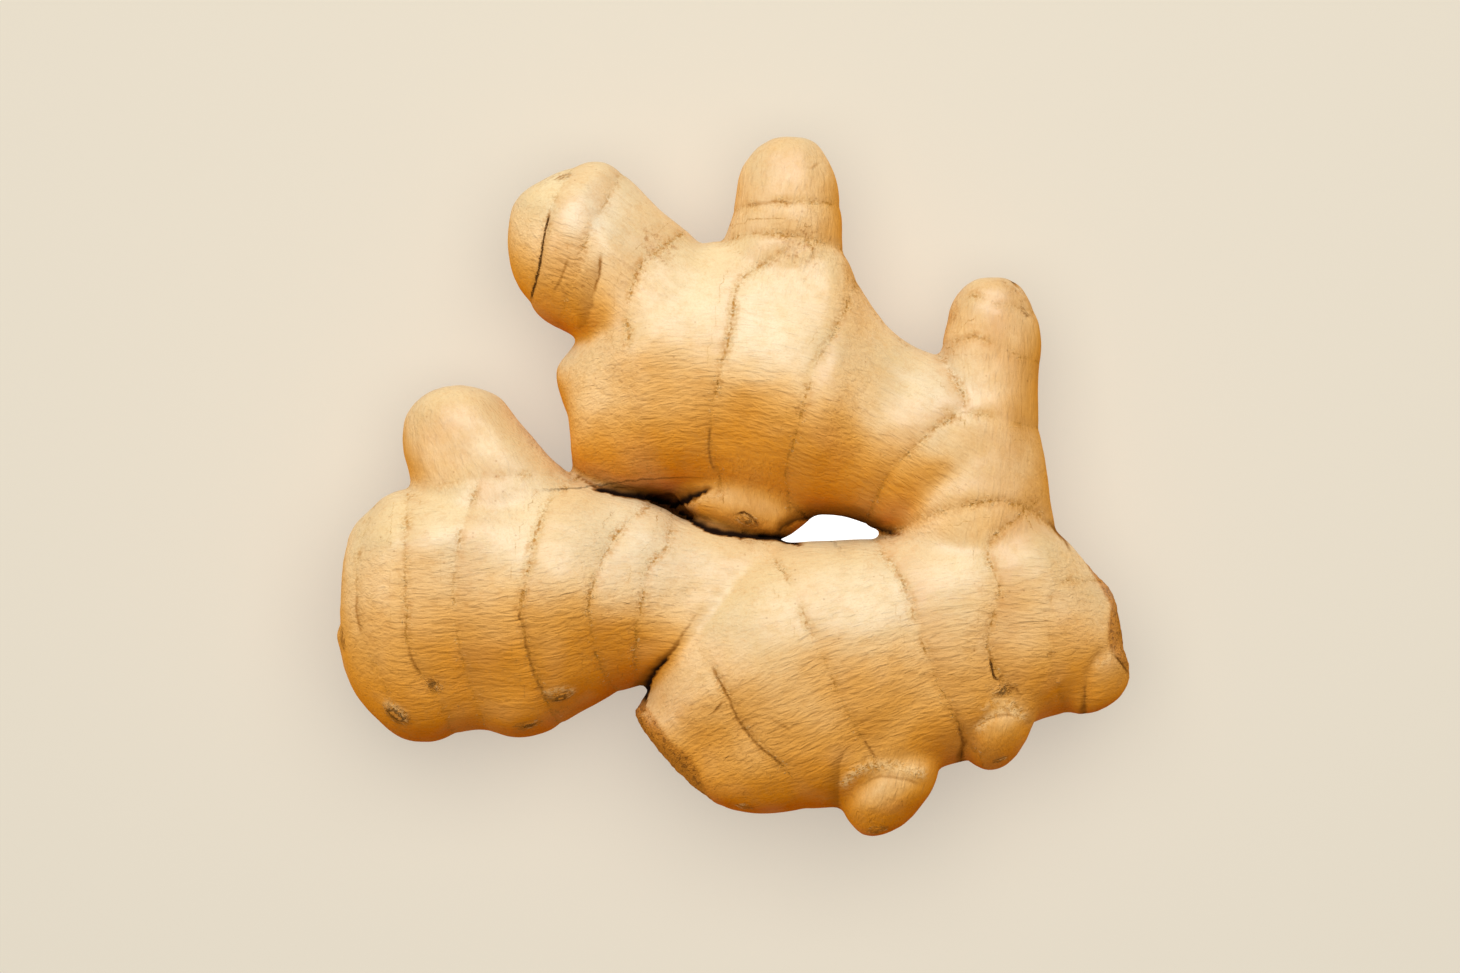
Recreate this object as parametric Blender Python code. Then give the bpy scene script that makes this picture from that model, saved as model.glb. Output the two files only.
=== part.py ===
"""A ginger root lying flat: one branched rhizome with its fingers, knobs, buds and growth rings."""

from collections import namedtuple

import bmesh
import bpy
import numpy as np
from mathutils import Matrix, Vector

# The real length, from the bud at the left end to the bud at the right end, drives every other size.
# The tables below are drawn in units that are millimetres at this length: x to the right, y up the
# plan, both from the middle of the root, and z up from the ground.
LENGTH = 0.1504
DRAWN_LENGTH = 150.4
UNIT = LENGTH / DRAWN_LENGTH

# Cross-sections of each branch: one outer edge (x, y), the other outer edge (x, y), height of the middle.
LEFT_LOBE = (
    (-73.6, -20.0, -73.6, -25.7, 19.0),
    (-73.2, -15.1, -73.6, -31.6, 18.9),
    (-72.2, -9.2, -71.7, -37.6, 18.7),
    (-69.0, -5.0, -67.7, -43.2, 18.4),
    (-63.8, -1.2, -62.3, -47.4, 18.1),
    (-57.2, 0.1, -56.0, -48.0, 18.0),
    (-49.6, 0.9, -48.1, -45.9, 17.5),
    (-42.0, 1.2, -41.0, -47.6, 18.0),
    (-35.3, 2.0, -34.4, -46.1, 18.1),
    (-29.1, 1.4, -27.9, -42.1, 18.3),
    (-22.6, -1.2, -21.1, -38.9, 18.6),
    (-15.4, -2.8, -14.4, -36.8, 18.9),
    (-7.8, -6.6, -7.4, -34.9, 19.2),
    (-0.2, -9.0, 0.8, -33.0, 19.4),
    (9.3, -10.8, 11.2, -31.1, 19.5),
)
RIGHT_LOBE = (
    (-14.1, -49.1, -7.4, -56.3, 20.5),
    (-18.1, -43.0, -2.1, -59.8, 20.5),
    (-16.3, -40.0, 2.1, -61.3, 20.6),
    (-12.7, -33.2, 7.4, -61.7, 20.7),
    (-8.9, -27.1, 13.1, -61.1, 20.7),
    (-4.4, -21.2, 18.4, -60.5, 20.6),
    (2.7, -14.5, 23.2, -59.8, 20.5),
    (11.2, -11.1, 28.3, -58.6, 20.2),
    (19.8, -10.5, 33.1, -56.7, 19.7),
    (28.3, -9.6, 39.7, -52.9, 18.6),
    (37.8, -6.7, 46.4, -51.4, 17.9),
    (48.3, -4.8, 53.0, -47.2, 17.9),
    (57.8, -4.8, 58.7, -43.8, 17.9),
    (63.0, -9.7, 63.5, -43.0, 18.0),
    (67.9, -15.3, 68.2, -41.9, 18.0),
    (71.9, -19.7, 71.6, -39.6, 18.0),
    (73.2, -25.4, 73.5, -36.8, 18.0),
    (73.9, -28.8, 74.3, -33.7, 18.0),
)
RIGHT_FINGER = (
    (33.1, -23.5, 65.4, -21.6, 17.0),
    (31.2, -14.0, 63.6, -13.6, 17.0),
    (30.8, -8.3, 61.9, -8.1, 16.9),
    (30.8, -3.5, 60.6, -3.5, 16.7),
    (35.0, 3.1, 59.9, 1.6, 16.5),
    (38.8, 10.7, 58.7, 8.8, 16.3),
    (40.3, 16.4, 58.1, 15.9, 16.2),
    (39.2, 22.1, 58.2, 21.8, 16.3),
    (40.3, 26.9, 58.7, 26.9, 16.6),
    (41.1, 31.6, 58.0, 32.0, 17.0),
    (42.3, 35.1, 56.6, 35.4, 17.3),
    (44.6, 37.9, 54.9, 37.9, 17.5),
    (47.3, 39.4, 52.6, 39.4, 17.6),
)
UPPER_BODY = (
    (51.1, 17.4, 44.5, -8.3, 17.0),
    (45.4, 21.8, 36.9, -9.0, 16.8),
    (39.7, 24.6, 30.8, -8.6, 16.7),
    (34.4, 26.5, 26.0, -7.6, 16.6),
    (29.3, 30.3, 22.2, -5.5, 16.6),
    (25.6, 35.6, 17.9, -4.9, 16.6),
    (22.6, 41.9, 12.2, -4.7, 16.6),
    (19.8, 46.8, 5.5, -3.1, 16.5),
    (11.2, 47.8, -1.1, -1.6, 16.3),
    (2.7, 47.2, -7.8, -0.5, 16.1),
    (-5.1, 46.1, -14.4, -1.6, 15.7),
    (-12.5, 42.7, -20.1, -0.9, 16.1),
    (-20.1, 37.3, -24.9, 0.3, 16.1),
    (-25.5, 32.0, -28.8, 1.6, 16.3),
    (-29.4, 27.1, -30.1, 4.6, 16.5),
    (-32.5, 23.3, -30.2, 11.7, 16.6),
    (-33.2, 20.8, -32.1, 16.4, 16.6),
)
LEFT_FINGER = (
    (1.7, 42.7, -13.5, 16.4, 16.0),
    (-5.1, 45.7, -20.1, 21.2, 16.3),
    (-9.7, 49.1, -24.9, 25.6, 16.8),
    (-14.4, 53.1, -29.1, 28.2, 17.3),
    (-18.8, 57.7, -33.2, 30.3, 17.8),
    (-23.6, 61.1, -36.9, 33.2, 18.2),
    (-29.1, 60.9, -39.3, 36.8, 18.5),
    (-34.0, 58.8, -40.9, 40.0, 18.7),
    (-38.0, 56.9, -41.8, 43.0, 18.8),
    (-40.7, 54.2, -42.0, 45.7, 18.9),
    (-41.6, 51.4, -42.0, 48.4, 18.9),
)
MIDDLE_FINGER = (
    (-5.9, 35.4, 24.5, 31.6, 16.0),
    (-3.6, 42.1, 23.6, 38.9, 16.1),
    (-1.7, 45.9, 21.3, 45.3, 16.3),
    (0.0, 50.4, 20.9, 51.2, 16.6),
    (0.9, 55.2, 20.5, 55.8, 16.9),
    (1.9, 59.6, 19.4, 59.4, 17.2),
    (3.2, 62.0, 17.9, 62.4, 17.4),
    (5.5, 64.3, 16.3, 64.7, 17.5),
    (8.4, 66.0, 13.7, 66.2, 17.6),
)
LOW_FINGER = (
    (-60.0, -10.2, -26.8, -4.5, 17.6),
    (-60.2, -2.6, -29.1, 1.2, 17.5),
    (-60.8, 2.6, -34.0, 5.0, 17.3),
    (-61.8, 6.0, -38.2, 9.6, 17.0),
    (-62.1, 9.8, -41.2, 12.6, 16.8),
    (-61.6, 13.0, -43.3, 15.7, 16.6),
    (-59.9, 15.7, -45.4, 17.4, 16.5),
    (-57.2, 17.8, -48.1, 18.5, 16.4),
    (-54.3, 18.9, -50.5, 19.1, 16.4),
)
BOTTOM_KNOB = (
    (23.2, -44.2, 36.8, -43.2, 22.8),
    (22.6, -48.2, 37.8, -47.2, 23.6),
    (21.7, -54.8, 38.8, -52.9, 23.8),
    (21.1, -60.1, 38.0, -56.7, 23.2),
    (22.4, -63.0, 35.9, -59.9, 22.4),
    (24.3, -65.3, 32.9, -63.4, 21.6),
    (26.2, -66.2, 29.4, -65.6, 21.0),
)
SMALL_KNOB = (
    (44.2, -39.6, 57.6, -36.4, 23.8),
    (43.5, -44.4, 57.8, -40.6, 24.2),
    (43.7, -49.1, 56.8, -44.6, 24.0),
    (45.0, -52.0, 55.5, -47.8, 23.2),
    (47.1, -53.3, 53.8, -50.8, 22.3),
    (49.0, -53.7, 51.9, -52.7, 21.8),
)
RIGHT_BUD = (
    (64.4, -30.1, 64.4, -43.2, 21.8),
    (69.7, -29.2, 68.6, -42.5, 21.8),
    (73.2, -29.5, 71.8, -40.9, 21.3),
    (74.7, -32.2, 73.9, -39.2, 20.8),
    (75.4, -34.5, 75.2, -37.0, 20.4),
)
LEFT_BUD = (
    (-72.0, -22.7, -72.0, -33.0, 19.0),
    (-73.7, -25.4, -73.5, -31.1, 19.0),
    (-75.0, -27.8, -74.9, -29.4, 19.0),
)
UNDER_BUD = (
    (-7.8, 3.1, 15.4, 1.2, 16.0),
    (-10.4, -1.6, 15.4, -4.4, 16.4),
    (-7.8, -4.8, 14.4, -6.6, 16.4),
    (-3.6, -7.5, 11.2, -9.0, 16.0),
)
# The web of root deep in the cleft between the upper body and the arm under it.
CLEFT_WEB = (
    (-25.0, 5.0, -25.0, -9.0, 8.5),
    (-20.0, 5.0, -20.0, -10.0, 8.5),
    (-10.0, 4.5, -10.0, -13.0, 8.5),
    (0.0, 3.0, 0.0, -16.0, 8.5),
    (6.5, 1.0, 6.5, -17.0, 8.5),
)

# roundness is a section's height over its width, and thickest is the most that its half height may be.
Branch = namedtuple("Branch", "sections roundness thickest")
BRANCHES = (
    Branch(LEFT_LOBE, 0.76, 17.8),
    Branch(RIGHT_LOBE, 0.80, 19.4),
    Branch(RIGHT_FINGER, 0.95, 13.5),
    Branch(UPPER_BODY, 0.70, 16.0),
    Branch(LEFT_FINGER, 0.90, 13.5),
    Branch(MIDDLE_FINGER, 0.95, 11.5),
    Branch(LOW_FINGER, 0.90, 11.5),
    Branch(BOTTOM_KNOB, 1.00, 8.6),
    Branch(SMALL_KNOB, 0.95, 7.0),
    Branch(RIGHT_BUD, 0.95, 6.5),
    Branch(LEFT_BUD, 0.90, 5.0),
    Branch(UNDER_BUD, 0.65, 7.5),
    Branch(CLEFT_WEB, 0.60, 4.5),
)

# Soft swells and hollows of the upper side, where the branches bulge and sink between their rings:
# middle (x, y), reach along and across, turn of the long way in degrees, height.
SWELLS = (
    (8.8, 16.1, 18.0, 11.5, -23.0, 4.1),
    (19.8, -42.2, 18.0, 12.4, 16.0, -3.0),
    (-27.5, -19.9, 18.0, 8.6, -25.0, 3.2),
    (-19.8, 29.1, 10.4, 7.9, -1.0, 3.4),
    (42.5, 9.0, 18.0, 9.6, 29.0, 2.5),
    (-49.8, -36.6, 18.0, 7.4, -10.0, -1.9),
    (-56.6, -9.1, 14.7, 6.3, 14.0, 2.8),
    (-3.8, -49.5, 6.2, 9.1, -42.0, -2.3),
    (52.0, -27.8, 7.4, 10.7, -4.0, -2.0),
    (-21.9, 52.1, 12.0, 4.7, -43.0, -2.0),
    (-7.4, -27.8, 10.8, 4.4, 51.0, 2.4),
    (-11.5, 9.0, 5.5, 12.0, 36.0, 1.1),
    (21.8, -20.3, 8.4, 5.5, -4.0, -1.0),
    (67.6, -39.4, 11.2, 3.8, 28.0, -1.5),
    (15.9, -69.2, 5.8, 18.0, 81.0, 3.9),
    (27.0, -46.9, 8.0, 3.5, 39.0, -1.2),
    (19.3, 31.0, 18.0, 4.1, -42.0, -0.8),
    (41.6, 9.9, 3.8, 4.5, 33.0, -1.4),
    (49.2, 14.9, 6.4, 3.5, -39.0, 1.2),
    (-66.1, -27.6, 5.1, 10.8, 11.0, -0.7),
    (3.5, 12.3, 4.9, 6.8, -15.0, -1.1),
    (-51.1, -18.8, 7.1, 4.4, 7.0, 0.8),
    (7.5, 61.6, 4.2, 6.7, -35.0, -0.8),
    (17.2, 46.7, 7.6, 3.7, -32.0, 0.8),
    (42.9, -44.2, 6.1, 3.7, -27.0, 0.8),
    (-41.7, -36.7, 5.7, 4.8, 92.0, -0.8),
    (-25.8, -41.0, 8.2, 3.5, 19.0, -0.8),
    (-51.3, 5.7, 6.3, 3.5, -6.0, -0.8),
)
SWELL_FADE = 0.5

# Growth rings: how deep each one is against the deepest, and a smooth line across its branch in plan.
# The scar goes right round the branch, so the line holds for the underside too.
RINGS = (
    (0.5, ((-68.2, -3.5), (-69.5, -15.9), (-69.3, -26.3), (-66.3, -40.6))),
    (0.9, ((-60.6, -0.7), (-60.4, -15.9), (-59.9, -31.1), (-55.3, -39.0), (-52.2, -47.4))),
    (0.6, ((-47.3, 1.0), (-50.5, -9.2), (-51.5, -21.6), (-50.2, -32.0), (-46.9, -43.4))),
    (1.0, ((-29.1, 1.6), (-35.0, -4.8), (-38.2, -17.8), (-38.6, -26.3), (-36.1, -36.6), (-32.5, -44.7))),
    (0.9, ((-14.4, -3.1), (-21.7, -9.2), (-26.4, -21.6), (-24.1, -33.5), (-21.5, -39.0))),
    (0.8, ((-9.7, -5.4), (-15.0, -14.9), (-17.5, -23.5), (-17.3, -35.2))),
    (0.7, ((-5.9, -24.4), (-2.5, -35.2), (2.7, -45.3), (9.5, -52.3), (14.1, -61.1))),
    (0.8, ((6.5, -11.1), (10.3, -17.4), (16.0, -29.2), (20.1, -39.0), (26.8, -50.4), (29.8, -58.6))),
    (0.8, ((26.8, -9.8), (32.1, -17.8), (35.5, -29.2), (40.9, -41.5), (46.9, -51.4))),
    (1.0, ((56.8, -3.5), (48.3, -11.1), (50.0, -19.7), (47.9, -30.1), (52.1, -38.7), (55.3, -44.7))),
    (0.8, ((69.2, -17.8), (61.4, -18.1), (59.3, -25.4), (60.2, -33.9), (63.5, -43.0))),
    (1.0, ((30.8, -8.5), (38.0, -5.2), (48.5, -2.8), (56.2, -4.5), (61.9, -8.3))),
    (0.7, ((40.7, 14.3), (46.0, 13.6), (50.9, 12.6), (58.7, 10.9))),
    (0.9, ((39.9, 24.6), (43.7, 15.5), (36.3, 9.4), (29.3, 1.6), (25.3, -7.3))),
    (0.8, ((41.6, 30.7), (44.6, 35.6), (49.2, 34.9), (57.6, 33.2))),
    (0.9, ((23.8, 38.9), (20.3, 30.7), (15.6, 21.8), (12.3, 10.5), (10.3, 2.2), (11.2, -4.1))),
    (0.9, ((14.1, 46.3), (7.8, 42.8), (1.7, 38.3), (-0.6, 27.3), (-3.8, 11.7), (-1.7, -1.0))),
    (0.4, ((-17.3, 35.4), (-18.4, 24.0), (-17.3, 10.7), (-14.4, -1.0))),
    (1.0, ((-29.8, 60.7), (-33.8, 51.6), (-36.3, 41.1), (-38.2, 34.9))),
    (0.6, ((-20.7, 59.4), (-24.9, 49.7), (-28.7, 38.3), (-32.1, 29.7))),
    (0.9, ((-5.9, 45.7), (-14.4, 44.6), (-20.1, 35.4), (-27.2, 27.3))),
    (0.6, ((0.4, 52.0), (6.5, 53.3), (13.1, 53.5), (20.9, 53.3))),
    (0.9, ((-1.7, 46.3), (4.4, 47.6), (13.1, 46.8), (21.7, 44.6))),
    (0.8, ((-61.4, -1.0), (-47.7, 1.4), (-29.3, 2.8))),
)
SCAR_DEPTH = 0.40 * UNIT
SCAR_WIDTH = 1.1 * UNIT
WAIST_DEPTH = 0.16 * UNIT
WAIST_WIDTH = 3.4 * UNIT

# The mesh: steps between two drawn sections, sides of a section, and the skin that joins the branches.
STEPS_BETWEEN = 5
SECTION_SIDES = 48
JOINING_VOXEL = 0.5 * UNIT
SMOOTHING_ROUNDS = 11
SMOOTHING_FACTOR = 0.5
SKIN_GROWTH = 0.35 * UNIT
TRIANGLES = 10800

SKIN_COLOUR = (0.68, 0.41, 0.16, 1.0)
SKIN_ROUGHNESS = 0.55


def clear_scene():
    for old in list(bpy.data.objects):
        bpy.data.objects.remove(old, do_unlink=True)


def smooth_row(points, steps):
    """Catmull-Rom curve through the drawn points, in the points' own number of dimensions."""
    drawn = np.array(points, dtype=float)
    first = 2 * drawn[0] - drawn[1]
    last = 2 * drawn[-1] - drawn[-2]
    knots = np.vstack([first, drawn, last])
    row = []
    for before, start, end, after in zip(knots, knots[1:], knots[2:], knots[3:]):
        for t in np.arange(steps) / steps:
            row.append(0.5 * (2 * start + (end - before) * t
                              + (2 * before - 5 * start + 4 * end - after) * t ** 2
                              + (after - before + 3 * (start - end)) * t ** 3))
    row.append(drawn[-1])
    return np.array(row)


def section_matrix(section, branch):
    """Takes the unit circle to an upright oval between the section's two edges."""
    edge_a = Vector((section[0], section[1], section[4]))
    edge_b = Vector((section[2], section[3], section[4]))
    across = (edge_b - edge_a) / 2
    half_height = min(branch.roundness * across.length, branch.thickest)
    up = Vector((0, 0, half_height))
    along = across.cross(up).normalized()
    axes = Matrix((across, up, along)).transposed().to_4x4()
    return Matrix.Scale(UNIT, 4) @ Matrix.Translation((edge_a + edge_b) / 2) @ axes


def loft_branch(bm, branch):
    """Bridges the branch's ovals, from one closed end to the other."""
    row = smooth_row(branch.sections, STEPS_BETWEEN)
    loops = []
    for number, section in enumerate(row):
        is_end = number in (0, len(row) - 1)
        oval = bmesh.ops.create_circle(bm, cap_ends=is_end, segments=SECTION_SIDES, radius=1.0,
                                       matrix=section_matrix(section, branch))
        loops.append(list({edge for vert in oval["verts"] for edge in vert.link_edges}))
    for loop, following in zip(loops, loops[1:]):
        bmesh.ops.bridge_loops(bm, edges=loop + following)


def branches_object():
    """All branches as closed lofts that run well into each other."""
    mesh = bpy.data.meshes.new("ginger_root")
    bm = bmesh.new()
    for branch in BRANCHES:
        loft_branch(bm, branch)
    bmesh.ops.recalc_face_normals(bm, faces=bm.faces)
    bm.to_mesh(mesh)
    bm.free()
    root = bpy.data.objects.new("ginger_root", mesh)
    bpy.context.scene.collection.objects.link(root)
    return root


def apply_modifiers(root):
    """Makes the object's mesh what its modifiers show, and removes them."""
    graph = bpy.context.evaluated_depsgraph_get()
    shaped = bpy.data.meshes.new_from_object(root.evaluated_get(graph))
    root.modifiers.clear()
    root.data = shaped


def grow_together(root):
    """Joins the branches in one skin, with the creases between them filled a little."""
    join = root.modifiers.new("join", "REMESH")
    join.mode = "VOXEL"
    join.voxel_size = JOINING_VOXEL
    fill = root.modifiers.new("fill", "SMOOTH")
    fill.factor = SMOOTHING_FACTOR
    fill.iterations = SMOOTHING_ROUNDS
    apply_modifiers(root)


def distance_to_line(points, line):
    """Shortest distance in plan from each point to a line of straight runs."""
    nearest = np.full(len(points), np.inf)
    for start, end in zip(line, line[1:]):
        run = end - start
        share = np.clip((points - start) @ run / (run @ run), 0, 1)
        foot = start + share[:, None] * run
        nearest = np.minimum(nearest, np.linalg.norm(points - foot, axis=1))
    return nearest


def ring_relief(plan):
    """Depth of the skin at each point: a narrow scar in a wide waist at every growth ring."""
    depth = np.zeros(len(plan))
    for strength, ring in RINGS:
        line = smooth_row(ring, STEPS_BETWEEN) * UNIT
        gap = distance_to_line(plan, line)
        scar = SCAR_DEPTH * np.exp(-(gap / SCAR_WIDTH) ** 2)
        waist = WAIST_DEPTH * np.exp(-(gap / WAIST_WIDTH) ** 2)
        depth = np.maximum(depth, strength * (scar + waist))
    return depth


def swell_relief(plan):
    """Height of the swells and hollows at each point in plan."""
    height = np.zeros(len(plan))
    for x, y, reach, half_width, turn, rise in SWELLS:
        middle = np.array((x, y)) * UNIT
        along = np.array((np.cos(np.radians(turn)), np.sin(np.radians(turn))))
        across = np.array((-along[1], along[0]))
        length = (plan - middle) @ along / (reach * UNIT)
        breadth = (plan - middle) @ across / (half_width * UNIT)
        height += rise * UNIT * np.exp(-length ** 2 - breadth ** 2)
    return height


def read_skin(mesh):
    """Places and outward directions of the skin's points."""
    places = np.empty(len(mesh.vertices) * 3)
    normals = np.empty(len(mesh.vertices) * 3)
    mesh.vertices.foreach_get("co", places)
    mesh.vertex_normals.foreach_get("vector", normals)
    return places.reshape(-1, 3), normals.reshape(-1, 3)


def move_skin(mesh, places):
    mesh.vertices.foreach_set("co", places.ravel())
    mesh.update()


def raise_relief(root):
    """Lifts the upper side by its swells, then moves the skin out by its growth and in at the rings."""
    places, normals = read_skin(root.data)
    upward = np.clip(normals[:, 2] / SWELL_FADE, 0, 1)
    places[:, 2] += swell_relief(places[:, :2]) * upward ** 2 * (3 - 2 * upward)
    move_skin(root.data, places)
    places, normals = read_skin(root.data)
    growth = SKIN_GROWTH - ring_relief(places[:, :2])
    move_skin(root.data, places + normals * growth[:, None])


def lighten(root):
    """Brings the skin down to its triangle count, which keeps more of them in the creases."""
    triangles = sum(len(face.vertices) - 2 for face in root.data.polygons)
    reduce = root.modifiers.new("reduce", "DECIMATE")
    reduce.ratio = TRIANGLES / triangles
    apply_modifiers(root)


def flatten_rests(root):
    """Cuts the three lowest places off at the ground, where the root lies on small flat spots."""
    bm = bmesh.new()
    bm.from_mesh(root.data)
    everything = bm.verts[:] + bm.edges[:] + bm.faces[:]
    bmesh.ops.bisect_plane(bm, geom=everything, plane_co=(0, 0, 0), plane_no=(0, 0, -1), clear_outer=True)
    rim = [edge for edge in bm.edges if edge.is_boundary]
    bmesh.ops.holes_fill(bm, edges=rim)
    bmesh.ops.triangulate(bm, faces=bm.faces)
    bmesh.ops.recalc_face_normals(bm, faces=bm.faces)
    bm.to_mesh(root.data)
    bm.free()


def skin_material():
    skin = bpy.data.materials.new("skin")
    skin.use_nodes = True
    shader = skin.node_tree.nodes["Principled BSDF"]
    shader.inputs["Base Color"].default_value = SKIN_COLOUR
    shader.inputs["Roughness"].default_value = SKIN_ROUGHNESS
    shader.inputs["Metallic"].default_value = 0.0
    return skin


clear_scene()
ginger_root = branches_object()
grow_together(ginger_root)
raise_relief(ginger_root)
lighten(ginger_root)
flatten_rests(ginger_root)
ginger_root.data.materials.append(skin_material())
ginger_root.data.shade_smooth()
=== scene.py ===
import bmesh
import bpy
import numpy as np
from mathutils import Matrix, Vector, noise
from mathutils.bvhtree import BVHTree


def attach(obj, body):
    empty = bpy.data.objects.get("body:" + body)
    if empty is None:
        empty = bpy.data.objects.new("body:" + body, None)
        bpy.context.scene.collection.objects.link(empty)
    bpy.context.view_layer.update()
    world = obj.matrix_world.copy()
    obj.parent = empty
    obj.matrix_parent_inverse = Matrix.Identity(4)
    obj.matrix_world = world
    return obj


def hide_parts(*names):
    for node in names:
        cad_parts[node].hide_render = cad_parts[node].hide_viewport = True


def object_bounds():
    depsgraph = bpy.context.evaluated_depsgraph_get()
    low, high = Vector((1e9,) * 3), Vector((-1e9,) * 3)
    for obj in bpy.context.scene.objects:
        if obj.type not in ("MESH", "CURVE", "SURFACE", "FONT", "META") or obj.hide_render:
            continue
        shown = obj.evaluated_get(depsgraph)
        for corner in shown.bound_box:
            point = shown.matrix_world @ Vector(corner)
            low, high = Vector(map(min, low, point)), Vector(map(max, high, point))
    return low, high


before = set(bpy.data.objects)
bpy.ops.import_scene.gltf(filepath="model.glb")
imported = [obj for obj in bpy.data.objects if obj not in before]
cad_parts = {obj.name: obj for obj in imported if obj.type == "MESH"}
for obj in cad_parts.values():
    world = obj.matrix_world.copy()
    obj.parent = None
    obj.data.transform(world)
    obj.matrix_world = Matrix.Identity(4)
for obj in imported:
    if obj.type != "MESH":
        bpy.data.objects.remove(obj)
cad_box = [list(corner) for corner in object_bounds()]


# The rhizome: one grown body of root, which the fine skin follows all over.
# The skin is rebuilt on a fine even net from the solid's shape, with its flat facets smoothed away.
MM = 0.001
SKIN_NET = 0.73 * MM
SKIN_SMOOTHING = 4

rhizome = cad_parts["ginger_root"]


def joined_copy(source, name):
    """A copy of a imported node's mesh with its loose triangles joined, as a new object at the origin."""
    bm = bmesh.new()
    bm.from_mesh(source.data)
    bmesh.ops.remove_doubles(bm, verts=bm.verts, dist=0.001 * MM)
    mesh = bpy.data.meshes.new(name)
    bm.to_mesh(mesh)
    bm.free()
    piece = bpy.data.objects.new(name, mesh)
    bpy.context.scene.collection.objects.link(piece)
    return piece


def apply_modifiers(piece):
    graph = bpy.context.evaluated_depsgraph_get()
    shaped = bpy.data.meshes.new_from_object(piece.evaluated_get(graph))
    piece.modifiers.clear()
    piece.data = shaped


skin = joined_copy(rhizome, "root_skin")
soften = skin.modifiers.new("soften", "SUBSURF")
soften.levels = 1
soften.render_levels = 1
net = skin.modifiers.new("net", "REMESH")
net.mode = "VOXEL"
net.voxel_size = SKIN_NET
even = skin.modifiers.new("even", "SMOOTH")
even.factor = 0.5
even.iterations = SKIN_SMOOTHING
apply_modifiers(skin)


def read_skin():
    """The skin's points and outward directions, in millimetres."""
    count = len(skin.data.vertices)
    points = np.empty(count * 3)
    normals = np.empty(count * 3)
    skin.data.vertices.foreach_get("co", points)
    skin.data.vertex_normals.foreach_get("vector", normals)
    return points.reshape(-1, 3) / MM, normals.reshape(-1, 3)


def move_skin(points):
    skin.data.vertices.foreach_set("co", (points * MM).ravel())
    skin.data.update()


def lumps(points, size, seed):
    """Smooth noise from -1 to 1 at each point, with lumps of about the given size in millimetres."""
    shift = Vector((7.3, 3.1, 5.7)) * seed
    return np.array([noise.noise(Vector(point) / size + shift) for point in points])


def hump(gap, width):
    """1 at no gap, falling softly to nothing past about twice the width."""
    return np.exp(-(gap / width) ** 2)


# The lower lip of the small bud reaches over the arm, and they meet at the left corner of the gap.
# The whole skin swells and sinks a little too, as grown root does.
BUD_LIP = (8.0, -9.2)
BUD_LIP_RADIUS = 2.6
BUD_LIP_SWELL = 1.2
BELLY = 0.28

points, normals = read_skin()
lip = np.hypot(points[:, 0] - BUD_LIP[0], points[:, 1] - BUD_LIP[1])
points = points + normals * (BUD_LIP_SWELL * hump(lip, BUD_LIP_RADIUS))[:, None]
swell = BELLY * lumps(points, 11.0, 1) + 0.4 * BELLY * lumps(points, 4.5, 2)
points = points + normals * swell[:, None]


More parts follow.
